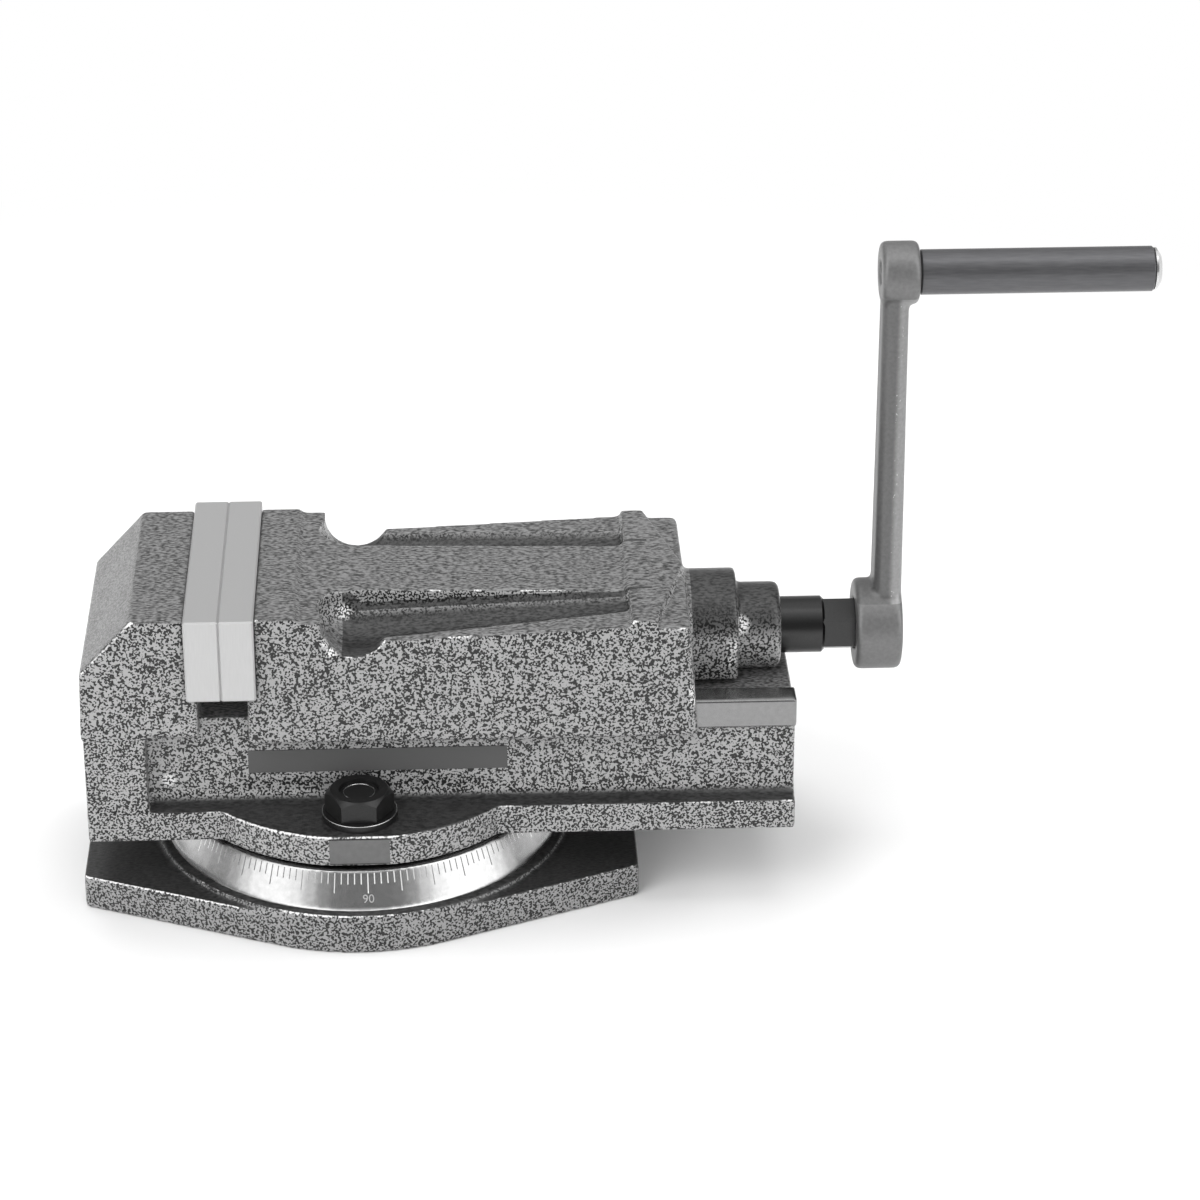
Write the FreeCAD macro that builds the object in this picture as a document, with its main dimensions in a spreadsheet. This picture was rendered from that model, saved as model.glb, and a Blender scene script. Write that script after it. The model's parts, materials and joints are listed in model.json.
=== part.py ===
import FreeCAD, Part
import os
import re
import Sketcher

# Swivel machine vise with a 125 mm jaw. Millimetres. X runs along the jaw's travel towards the crank,
# Z is up, and the origin is where the swivel axis meets the underside of the base.

os.makedirs("parts", exist_ok=True)
doc = FreeCAD.newDocument("SwivelVise")

# Driving sizes, each written once.
SIZES = {
    # Fits: shafts and turning faces, sliding ways, screws in plain holes, and flat faces left clear
    "running_gap": 0.05,
    "slide_gap": 0.1,
    "hole_gap": 0.4,
    "clear_gap": 0.3,
    # Swivel base
    "ear_half_length": 126.5,
    "ear_half_width": 51,
    "ear_thickness": 16,
    "ear_corner": 3,
    "disc_radius": 96.5,
    "disc_draft": 1,
    "disc_step": 2.5,
    "band_foot_radius": 91,
    "band_top_radius": 84,
    "band_height": 16.5,
    "ear_slot_width": 18,
    "ear_slot_depth": 28.5,
    "keyway_width": 14,
    "keyway_depth": 4,
    "base_bore_radius": 30,
    "register_radius": 42,
    "register_depth": 6,
    # Annular T-slot in the base, and the T-bolts that ride in it
    "clamp_radius": 63.8,
    "tslot_lip": 11,
    "tslot_head_height": 11,
    "tslot_side_play": 1.5,
    "stud_radius": 9,
    "bolt_head_width": 27,
    "bolt_head_height": 10,
    "washer_radius": 17,
    "washer_thickness": 3,
    "nut_flats": 27,
    "nut_height": 10.5,
    "stud_recess": 1.6,
    # Vise body
    "foot_radius": 81,
    "foot_height": 2.5,
    "body_left": 122.6,
    "body_right": 196.9,
    "flange_half_width": 58,
    "flange_thickness": 15,
    "lug_radius": 85,
    "index_flat_width": 27,
    "web_half_width": 48,
    "web_rise": 33.5,
    "web_fillet": 6,
    "washer_seat_height": 14,
    "pocket_left": 95,
    "end_block_half_width": 57,
    "end_block_drop": 5,
    "deck_thickness": 9,
    "bed_wall": 11,
    "bed_end_wall": 14,
    "bed_core_left": 58,
    "rail_half_width": 50,
    "rail_width": 13.2,
    "rail_height": 4.5,
    "rail_left": 48,
    "rail_overhang": 0.4,
    "deck_slot_half_width": 20,
    "deck_slot_left": 50,
    # Jaws, their steel plates and the screws that hold them
    "jaw_width": 125,
    "jaw_line": 59.8,
    "jaw_travel": 100,
    "plate_thickness": 15.5,
    "plate_height": 39.6,
    "plate_proud": 1.8,
    "plate_overhang": 4.8,
    "plate_chamfer": 0.7,
    "plate_lip": 4.4,
    "jaw_rise": 53.2,
    "fixed_jaw_depth": 47,
    "fixed_jaw_chamfer_run": 23.3,
    "fixed_jaw_chamfer_drop": 25.2,
    "fixed_jaw_draft": 1.1,
    "casting_round": 2,
    "plate_screw_spread": 42,
    "plate_screw_radius": 5,
    "plate_screw_grip": 14,
    "plate_screw_head_radius": 8,
    "plate_screw_head_height": 10,
    "plate_screw_socket_flats": 8,
    # Movable jaw
    "head_length": 17.8,
    "head_step": 1.9,
    "neck_start": 39,
    "neck_drop": 2.7,
    "scoop_start": 43.9,
    "scoop_radius": 16.8,
    "scoop_offset": 40.1,
    "scoop_drop": 4.5,
    "notch_radius": 14.7,
    "trough_end_radius": 10,
    "trough_end_offset": 33,
    "trough_end_drop": 1.2,
    "rim_start_drop": 11.7,
    "rim_end_drop": 6.7,
    "spine_end_drop": 5.6,
    "crown_start": 166.8,
    "crown_drop": 3.7,
    "crown_shoulder": 10.5,
    "facet_drop": 7.7,
    "movable_length": 192.8,
    "rear_draft": 4.1,
    "tongue_start": 1.7,
    "tongue_length": 28,
    "core_start": 32.3,
    "core_half_width": 18.5,
    "core_top": 31.5,
    "core_foot_half_width": 33,
    "core_foot_height": 10.5,
    "core_length": 150,
    "retainer_room": 14,
    "retainer_room_half_width": 28,
    "retainer_room_top": 35,
    "housing_half_width": 25.6,
    "housing_radius": 26.6,
    "housing_length": 22,
    "housing_lift": 2,
    "boss_radius": 20,
    "boss_length": 20.2,
    "boss_round": 3,
    # Keeper plate under the bed
    "keeper_half_width": 34,
    "keeper_length": 44,
    "keeper_thickness": 12,
    "small_screw_radius": 4,
    "small_screw_head_radius": 6.5,
    "small_screw_head_height": 8,
    "small_screw_grip": 12,
    "keeper_screw_spread": 13,
    # Lead screw, its nut on the bed, and the thrust bearing in the rear wall of the jaw
    "screw_lift": 12.5,
    "thread_radius": 12,
    "thread_chamfer": 1.5,
    "screw_tail_room": 4,
    "journal_radius": 13,
    "journal_reach": 20.3,
    "journal_chamfer": 1.2,
    "hex_flats": 22,
    "hex_length": 33,
    "collar_radius": 15.5,
    "collar_length": 8,
    "thrust_washer_thickness": 3,
    "chamber_radius": 16.5,
    "chamber_length": 22,
    "nut_start": 90,
    "nut_length": 34,
    "nut_half_width": 16,
    "nut_foot_half_width": 30,
    "nut_foot_height": 10,
    "nut_screw_inset": 8,
    "nut_screw_offset": 23,
    "nut_screw_sink": 5,
    "nut_screw_grip": 8,
    "retainer_thickness": 8,
    "retainer_half_width": 27,
    "retainer_below": 12,
    "retainer_above": 21,
    "retainer_screw_radius": 2.5,
    "retainer_screw_head_radius": 4.2,
    "retainer_screw_head_height": 5,
    "retainer_screw_grip": 9,
    "retainer_screw_offset": 22,
    "retainer_screw_low": 8,
    "retainer_screw_high": 15,
    # Crank
    "hub_gap": 13.9,
    "hub_radius": 21,
    "hub_length": 21.1,
    "hub_round": 1.5,
    "arm_throw": 172.7,
    "arm_inset": 8.1,
    "arm_foot_depth": 13,
    "arm_head_depth": 11.6,
    "arm_foot_width": 22,
    "arm_head_width": 18,
    "arm_bevel": 3,
    "head_inset": 7.1,
    "head_radius": 14,
    "head_depth": 17,
    "handle_radius": 10,
    "handle_length": 103.3,
    "pin_radius": 5,
    "pin_head_radius": 9.4,
    "pin_head_length": 2.8,
    "pin_recess": 1.5,
}

# Sizes and places that follow from the driving ones.
PLACES = {
    # Heights
    "disc_top": "ear_thickness + disc_step",
    "base_top": "disc_top + band_height",
    "body_foot": "base_top + running_gap",
    "flange_bottom": "base_top + foot_height",
    "flange_top": "flange_bottom + flange_thickness",
    "deck_underside": "flange_top + web_rise",
    "bed_top": "deck_underside + deck_thickness",
    "rail_top": "bed_top + rail_height",
    "jaw_top": "bed_top + jaw_rise",
    "plate_top": "jaw_top + plate_proud",
    "plate_foot": "plate_top - plate_height",
    "end_block_top": "bed_top - end_block_drop",
    "screw_axis": "rail_top + screw_lift",
    "arm_axis": "screw_axis + arm_throw",
    # Base
    "ear_corner_reach": "sqrt(ear_half_length ^ 2 + ear_half_width ^ 2)",
    "tangent_angle": "atan(ear_half_width / ear_half_length) + acos(disc_radius / ear_corner_reach)",
    "tangent_long": "disc_radius * cos(tangent_angle)",
    "tangent_wide": "disc_radius * sin(tangent_angle)",
    "ear_slot_centre": "ear_half_length - ear_slot_depth + ear_slot_width / 2",
    "tslot_neck_half": "stud_radius + hole_gap",
    "tslot_head_half": "bolt_head_width / 2 + tslot_side_play",
    "tslot_roof": "base_top - tslot_lip",
    "tslot_floor": "tslot_roof - tslot_head_height",
    # Clamping bolts
    "bolt_head_top": "tslot_roof - clear_gap",
    "washer_top": "flange_top + washer_thickness",
    "nut_foot": "washer_top + running_gap",
    "nut_top": "nut_foot + nut_height",
    "stud_top": "nut_top - stud_recess",
    # Jaws
    "casting_half": "jaw_width / 2 - plate_overhang",
    "fixed_seat": "-jaw_line - plate_thickness",
    "fixed_lip": "fixed_seat + plate_lip",
    "fixed_back": "fixed_seat - fixed_jaw_depth",
    "movable_seat": "-jaw_line + plate_thickness",
    "movable_lip": "movable_seat - plate_lip",
    "way_half": "rail_half_width + slide_gap",
    "saddle_bottom": "rail_top + running_gap",
    "rear_top": "movable_seat + movable_length",
    "scoop_place": "movable_seat + scoop_start",
    "crown_place": "movable_seat + crown_start",
    "core_left": "movable_seat + core_start",
    "core_right": "core_left + core_length",
    "core_roof": "saddle_bottom + core_top",
    "tongue_left": "movable_seat - tongue_start",
    "tongue_right": "tongue_left + tongue_length",
    "keeper_top": "deck_underside - slide_gap",
    "keeper_bottom": "keeper_top - keeper_thickness",
    "keeper_left": "tongue_left + tongue_length / 2 - keeper_length / 2",
    "tongue_half": "deck_slot_half_width - clear_gap",
    "deck_slot_right": "tongue_right + jaw_travel + screw_tail_room",
    # Screw line along X
    "housing_right": "rear_top + housing_length + 2",
    "boss_right": "housing_right + boss_length",
    "chamber_right": "core_right + chamber_length",
    "collar_right": "chamber_right - thrust_washer_thickness - running_gap",
    "collar_left": "collar_right - collar_length",
    "inner_washer_right": "collar_left - running_gap",
    "inner_washer_left": "inner_washer_right - thrust_washer_thickness",
    "screw_left": "core_left + screw_tail_room",
    "journal_right": "boss_right + journal_reach",
    "screw_right": "journal_right + hex_length",
    "hub_left": "journal_right + hub_gap",
    "hub_right": "hub_left + hub_length",
    "arm_left": "hub_left + arm_inset",
    "head_left": "hub_left + head_inset",
    "head_right": "head_left + head_depth",
    "grip_left": "head_right + clear_gap",
    "grip_right": "grip_left + handle_length",
    "retainer_left": "core_right - retainer_thickness",
}

sheet = doc.addObject("Spreadsheet::Sheet", "Sizes")
for row, (alias, number) in enumerate(SIZES.items(), start=1):
    sheet.set(f"A{row}", alias)
    sheet.set(f"B{row}", str(number))
    sheet.setAlias(f"B{row}", alias)
places = doc.addObject("Spreadsheet::Sheet", "Places")


def bound(text):
    """An expression in which every size or place is named with its sheet."""
    def owner(match):
        word = match.group(0)
        if word in SIZES:
            return "Sizes." + word
        if word in PLACES:
            return "Places." + word
        return word
    return re.sub(r"[a-z_]+", owner, str(text))


for row, (alias, formula) in enumerate(PLACES.items(), start=1):
    places.set(f"A{row}", alias)
    places.set(f"B{row}", "=" + bound(formula).replace("Places.", ""))
    places.setAlias(f"B{row}", alias)
doc.recompute()


def value(text):
    """The number that an expression stands for."""
    return float(sheet.evalExpression(bound(text)))


def bind(thing, **formulas):
    """Ties properties to expressions; a double underscore in a name stands for a dot."""
    for name, text in formulas.items():
        thing.setExpression(name.replace("__", "."), bound(text))


def block(name, x, y, z):
    """A box between two expressions on each axis."""
    box = doc.addObject("Part::Box", name)
    bind(box, Length=f"({x[1]}) - ({x[0]})", Width=f"({y[1]}) - ({y[0]})", Height=f"({z[1]}) - ({z[0]})")
    bind(box, Placement__Base__x=x[0], Placement__Base__y=y[0], Placement__Base__z=z[0])
    return box


def bar(name, half, x, z):
    """A box that is as wide on both sides of the vise's centre plane."""
    return block(name, x, (f"-({half})", half), z)


TURNS = {
    "X": FreeCAD.Rotation(FreeCAD.Vector(0, 1, 0), 90),
    "Y": FreeCAD.Rotation(FreeCAD.Vector(1, 0, 0), -90),
    "Z": FreeCAD.Rotation(),
}


def rod(name, axis, radius, start, length):
    """A cylinder from a start point along an axis."""
    cylinder = doc.addObject("Part::Cylinder", name)
    cylinder.Placement = FreeCAD.Placement(FreeCAD.Vector(), TURNS[axis])
    bind(cylinder, Radius=radius, Height=length)
    bind(cylinder, Placement__Base__x=start[0], Placement__Base__y=start[1], Placement__Base__z=start[2])
    return cylinder


def hexagon(name, axis, flats, start, length):
    """A hexagonal bar given by the width across its flats."""
    prism = doc.addObject("Part::Prism", name)
    prism.Polygon = 6
    prism.Placement = FreeCAD.Placement(FreeCAD.Vector(), TURNS[axis])
    bind(prism, Circumradius=f"({flats}) / 2 / cos(30)", Height=length)
    bind(prism, Placement__Base__x=start[0], Placement__Base__y=start[1], Placement__Base__z=start[2])
    return prism


def fused(name, *pieces):
    """One solid made of overlapping pieces."""
    union = doc.addObject("Part::MultiFuse", name)
    union.Shapes = list(pieces)
    union.Refine = True
    return union


def group(name, *pieces):
    """Separate solids that share one node."""
    compound = doc.addObject("Part::Compound", name)
    compound.Links = list(pieces)
    return compound


def cut(name, base, *tools):
    """The base with every tool taken out of it."""
    tool = tools[0]
    if len(tools) > 1:
        tool = doc.addObject("Part::MultiFuse", name + "_tools")
        tool.Shapes = list(tools)
    difference = doc.addObject("Part::Cut", name)
    difference.Base = base
    difference.Tool = tool
    difference.Refine = True
    return difference


def common(name, first, second):
    """What two pieces share."""
    shared = doc.addObject("Part::Common", name)
    shared.Base = first
    shared.Tool = second
    return shared


def finish_edges(kind, name, base, radius, chosen):
    """A fillet or chamfer on the edges that a test on their bounding box picks."""
    doc.recompute()
    size = value(radius)
    edges = [number for number, edge in enumerate(base.Shape.Edges, start=1) if chosen(edge.BoundBox, edge)]
    dressed = doc.addObject(kind, name)
    dressed.Base = base
    dressed.Edges = [(number, size, size) for number in edges]
    return dressed


def rounded(name, base, radius, chosen):
    return finish_edges("Part::Fillet", name, base, radius, chosen)


def chamfered(name, base, radius, chosen):
    return finish_edges("Part::Chamfer", name, base, radius, chosen)


def near(first, second, slack=0.02):
    return abs(first - second) < slack


def new_body(name):
    return doc.addObject("PartDesign::Body", name)


def origin_plane(body, role):
    return next(item for item in body.Origin.OriginFeatures if item.Role == role)


def outline(body, name, role, points=(), circles=(), offset=None):
    """A fully constrained sketch of one closed polygon, or of circles, on an origin plane."""
    sketch = body.newObject("Sketcher::SketchObject", name)
    sketch.AttachmentSupport = [(origin_plane(body, role), "")]
    sketch.MapMode = "FlatFace"
    if offset:
        bind(sketch, AttachmentOffset__Base__z=offset)
    spots = [(value(across), value(up)) for across, up in points]
    for here, there in zip(spots, spots[1:] + spots[:1]):
        sketch.addGeometry(Part.LineSegment(FreeCAD.Vector(*here, 0), FreeCAD.Vector(*there, 0)))
    for number in range(len(spots)):
        sketch.addConstraint(Sketcher.Constraint("Coincident", number, 2, (number + 1) % len(spots), 1))
    for number, (across, up) in enumerate(points):
        dimension(sketch, "DistanceX", number, 1, across)
        dimension(sketch, "DistanceY", number, 1, up)
    for across, up, radius in circles:
        centre = FreeCAD.Vector(value(across), value(up), 0)
        ring = sketch.addGeometry(Part.Circle(centre, FreeCAD.Vector(0, 0, 1), value(radius)))
        dimension(sketch, "DistanceX", ring, 3, across)
        dimension(sketch, "DistanceY", ring, 3, up)
        size = sketch.addConstraint(Sketcher.Constraint("Radius", ring, value(radius)))
        sketch.setExpression(f"Constraints[{size}]", bound(radius))
    return sketch


def dimension(sketch, kind, item, end, text):
    """A distance of a point from the sketch's origin, tied to an expression."""
    number = sketch.addConstraint(Sketcher.Constraint(kind, -1, 1, item, end, value(text)))
    sketch.setExpression(f"Constraints[{number}]", bound(text))


def padded(body, name, sketch, length, both_ways=False, reverse=False):
    pad = body.newObject("PartDesign::Pad", name)
    pad.Profile = sketch
    pad.Midplane = both_ways
    pad.Reversed = reverse
    bind(pad, Length=length)
    return pad


def turned(body, name, sketch, axis, kind="PartDesign::Revolution"):
    """A full turn of a profile about one of its sketch's axes, added or, as a groove, cut."""
    feature = body.newObject(kind, name)
    feature.Profile = sketch
    feature.ReferenceAxis = (sketch, [axis])
    feature.Angle = 360
    return feature


def slab(name, half, points):
    """A profile in X and Z, extruded as far to both sides of the centre plane."""
    body = new_body(name)
    padded(body, name + "_pad", outline(body, name + "_profile", "XZ_Plane", points), f"2 * ({half})", True)
    return body


NODES = []


def node(piece, label):
    """Marks a finished piece as a node of the part."""
    piece.Label = label
    NODES.append(piece)


def make_swivel_base():
    """Cast base: two slotted ears, a turned ring with a coned scale band, and an annular T-slot."""
    body = new_body("BaseCasting")
    ears = [
        ("ear_half_length", "-ear_half_width"),
        ("ear_half_length", "ear_half_width"),
        ("tangent_long", "tangent_wide"),
        ("-tangent_long", "tangent_wide"),
        ("-ear_half_length", "ear_half_width"),
        ("-ear_half_length", "-ear_half_width"),
        ("-tangent_long", "-tangent_wide"),
        ("tangent_long", "-tangent_wide"),
    ]
    padded(body, "Ears", outline(body, "EarOutline", "XY_Plane", ears), "ear_thickness")
    ring = [
        ("0", "0"),
        ("disc_radius", "0"),
        ("disc_radius - disc_draft", "disc_top"),
        ("band_foot_radius", "disc_top"),
        ("band_top_radius", "base_top"),
        ("0", "base_top"),
    ]
    turned(body, "Ring", outline(body, "RingProfile", "XZ_Plane", ring), "V_Axis")
    register = [
        ("0", "-clear_gap"),
        ("base_bore_radius", "-clear_gap"),
        ("base_bore_radius", "base_top - register_depth"),
        ("register_radius + running_gap", "base_top - register_depth"),
        ("register_radius + running_gap", "base_top + clear_gap"),
        ("0", "base_top + clear_gap"),
    ]
    turned(body, "Register", outline(body, "RegisterProfile", "XZ_Plane", register), "V_Axis",
           "PartDesign::Groove")
    tslot = [
        ("clamp_radius - tslot_neck_half", "base_top + clear_gap"),
        ("clamp_radius - tslot_neck_half", "tslot_roof"),
        ("clamp_radius - tslot_head_half", "tslot_roof"),
        ("clamp_radius - tslot_head_half", "tslot_floor"),
        ("clamp_radius + tslot_head_half", "tslot_floor"),
        ("clamp_radius + tslot_head_half", "tslot_roof"),
        ("clamp_radius + tslot_neck_half", "tslot_roof"),
        ("clamp_radius + tslot_neck_half", "base_top + clear_gap"),
    ]
    turned(body, "TSlot", outline(body, "TSlotProfile", "XZ_Plane", tslot), "V_Axis", "PartDesign::Groove")
    slots = []
    for side, sign in (("Left", "-"), ("Right", "")):
        ends = sorted((f"{sign}ear_slot_centre", f"{sign}(ear_half_length + clear_gap)"), key=value)
        height = ("-clear_gap", "ear_thickness + clear_gap")
        slots.append(bar(f"{side}SlotRun", "ear_slot_width / 2", ends, height))
        start = (f"{sign}ear_slot_centre", "0", "-clear_gap")
        slots.append(rod(f"{side}SlotEnd", "Z", "ear_slot_width / 2", start,
                         "ear_thickness + 2 * clear_gap"))
    entry_half = "tslot_head_half + clear_gap"
    entry = bar("BoltEntry", entry_half, (f"clamp_radius - ({entry_half})", f"clamp_radius + {entry_half}"),
                ("tslot_floor", "base_top + clear_gap"))
    keyway = bar("Keyway", "keyway_width / 2",
                 ("-ear_half_length - clear_gap", "ear_half_length + clear_gap"),
                 ("-clear_gap", "keyway_depth"))
    casting = cut("BaseCut", body, entry, keyway, *slots)
    corners = rounded("BaseCorners", casting, "ear_corner", lambda box, edge: near(
        abs(box.Center.x), value("ear_half_length")) and near(abs(box.Center.y), value("ear_half_width"))
        and box.ZLength > 1)
    node(corners, "swivel_base")


def make_vise_body():
    """Cast body: turned foot, flange with two round lugs, cored bed with machined rails, fixed jaw."""
    left = "-body_left"
    flange = bar("Flange", "flange_half_width", (left, "body_right"), ("flange_bottom", "flange_top"))
    lugs = rod("Lugs", "Z", "lug_radius", ("0", "0", "flange_bottom"), "flange_thickness")
    foot = rod("Foot", "Z", "foot_radius", ("0", "0", "body_foot"), "flange_top - body_foot")
    spigot = rod("Spigot", "Z", "register_radius", ("0", "0", "base_top - register_depth + clear_gap"),
                 "flange_top - base_top + register_depth - clear_gap")
    index_depth = "sqrt(lug_radius ^ 2 - (index_flat_width / 2) ^ 2)"
    index = block("IndexCut", ("-index_flat_width / 2", "index_flat_width / 2"),
                  ("-lug_radius - 1", f"-{index_depth}"),
                  ("flange_bottom - 1", "flange_top + 1"))
    ledge = cut("Ledge", fused("LedgeBlank", flange, lugs, foot, spigot), index)
    web = bar("Web", "web_half_width", ("-pocket_left - 1", "body_right"), ("flange_bottom", "bed_top"))
    end_block = bar("EndBlock", "end_block_half_width", (left, "-pocket_left"),
                    ("flange_bottom", "end_block_top + 1"))
    solid = fused("BodyBlank", ledge, web, end_block)
    flange_top = value("flange_top")
    web_half = value("web_half_width")
    blended = rounded("WebFoot", solid, "web_fillet", lambda box, edge: near(box.ZMin, flange_top)
                      and near(box.ZMax, flange_top) and near(abs(box.Center.y), web_half)
                      and box.XLength > 100)
    jaw = slab("FixedJaw", "casting_half", [
        ("fixed_back - fixed_jaw_draft", "end_block_top"),
        ("fixed_back", "jaw_top - fixed_jaw_chamfer_drop"),
        ("fixed_back + fixed_jaw_chamfer_run", "jaw_top"),
        ("fixed_seat", "jaw_top"),
        ("fixed_seat", "plate_foot"),
        ("fixed_lip", "plate_foot"),
        ("fixed_lip", "end_block_top"),
    ])
    jaw_top = value("jaw_top")
    chamfer_foot = value("jaw_top - fixed_jaw_chamfer_drop")
    seat = value("fixed_seat")
    soft_jaw = rounded("FixedJawEdges", jaw, "casting_round", lambda box, edge: box.XMax < seat + 0.1
                       and box.XLength + box.YLength > 3
                       and (box.ZMin > chamfer_foot - 0.1 or box.YLength > 50)
                       and not near(box.XMin, seat) and box.ZMax > value("end_block_top") + 1)
    rails = []
    for side, sign in (("Front", "-"), ("Back", "")):
        across = sorted((f"{sign}rail_half_width", f"{sign}(rail_half_width - rail_width)"), key=value)
        rails.append(block(f"{side}Rail", ("-rail_left", "body_right + rail_overhang"), across,
                           ("deck_underside", "rail_top")))
    casting = fused("BodyCasting", blended, soft_jaw, *rails)
    core_half = "web_half_width - bed_wall"
    core_right = "body_right - bed_end_wall"
    core = bar("BedCore", core_half, ("-bed_core_left", core_right), ("flange_top", "deck_underside"))
    window = bar("BedWindow", core_half, ("lug_radius + bed_wall", core_right),
                 ("flange_bottom - 1", "flange_top + 1"))
    eye = rod("FloorEye", "Z", "base_bore_radius", ("0", "0", "body_foot - register_depth - 1"),
              "flange_top + register_depth + 3 - body_foot")
    slot = bar("DeckSlot", "deck_slot_half_width", ("-deck_slot_left", "deck_slot_right"),
               ("deck_underside - 1", "bed_top + 1"))
    holes = []
    for side, sign in (("Front", "-"), ("Back", "")):
        holes.append(rod(f"{side}BoltHole", "Z", "stud_radius + hole_gap",
                         ("0", f"{sign}clamp_radius", "body_foot - 1"),
                         "flange_top - body_foot + 2"))
        holes.append(rod(f"{side}WasherSeat", "Z", "washer_radius + hole_gap",
                         ("0", f"{sign}clamp_radius", "flange_top"),
                         "washer_seat_height"))
        holes.append(rod(f"{side}FixedTap", "X", "plate_screw_radius + running_gap",
                         ("fixed_seat - plate_screw_grip - 1", f"{sign}plate_screw_spread",
                          "plate_foot + plate_height / 2"),
                         "plate_screw_grip + 2"))
    for number, (along, across) in enumerate(nut_screw_places()):
        holes.append(rod(f"DeckTap{number}", "Z", "small_screw_radius + running_gap", (along, across,
                         "bed_top - nut_screw_grip - running_gap"), "nut_screw_grip + 1"))
    node(cut("ViseBody", casting, core, window, eye, slot, *holes), "vise_body")


def nut_screw_places():
    """Where the four screws of the lead screw's nut stand on the bed."""
    return [(along, across) for along in ("nut_start + nut_screw_inset",
                                          "nut_start + nut_length - nut_screw_inset")
            for across in ("-nut_screw_offset", "nut_screw_offset")]


def make_jaw_plate(name, label, back, working_face, heads_towards):
    """Ground steel plate with two counterbored screws sunk below its working face."""
    low = min((back, working_face), key=value)
    blank = bar(name + "Blank", "jaw_width / 2", (low, f"{low} + plate_thickness"),
                ("plate_foot", "plate_top"))
    chamfer = chamfered(name + "Chamfer", blank, "plate_chamfer", lambda box, edge: True)
    height = "plate_foot + plate_height / 2"
    sunk = "plate_screw_head_height + 1"
    tools = []
    screws = []
    for side, sign in (("Front", "-"), ("Back", "")):
        across = f"{sign}plate_screw_spread"
        tools.append(rod(f"{name}{side}Through", "X", "plate_screw_radius + hole_gap",
                         (f"{low} - 1", across, height),
                         "plate_thickness + 2"))
        if heads_towards == "right":
            bore_start = f"{working_face} - ({sunk})"
            shank_start = f"{back} - plate_screw_grip"
            head_start = bore_start
            socket_start = f"{head_start} + plate_screw_head_height / 2"
        else:
            bore_start = f"{working_face} - 1"
            shank_start = f"{working_face} + {sunk} - 1"
            head_start = f"{working_face} + {sunk} - plate_screw_head_height"
            socket_start = head_start
        tools.append(rod(f"{name}{side}Bore", "X", "plate_screw_head_radius + hole_gap",
                         (bore_start, across, height),
                         f"{sunk} + 1"))
        shank = rod(f"{name}{side}Shank", "X", "plate_screw_radius", (shank_start, across, height),
                    f"plate_thickness - ({sunk}) + plate_screw_grip + 1")
        head = rod(f"{name}{side}Head", "X", "plate_screw_head_radius", (head_start, across, height),
                   "plate_screw_head_height")
        socket = hexagon(f"{name}{side}Socket", "X", "plate_screw_socket_flats",
                         (socket_start, across, height),
                         "plate_screw_head_height / 2")
        screws.append(cut(f"{name}{side}Screw", fused(f"{name}{side}Blank", shank, head), socket))
    node(cut(name, chamfer, *tools), label + "_plate")
    node(group(name + "Screws", *screws), label + "_plate_screws")


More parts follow.
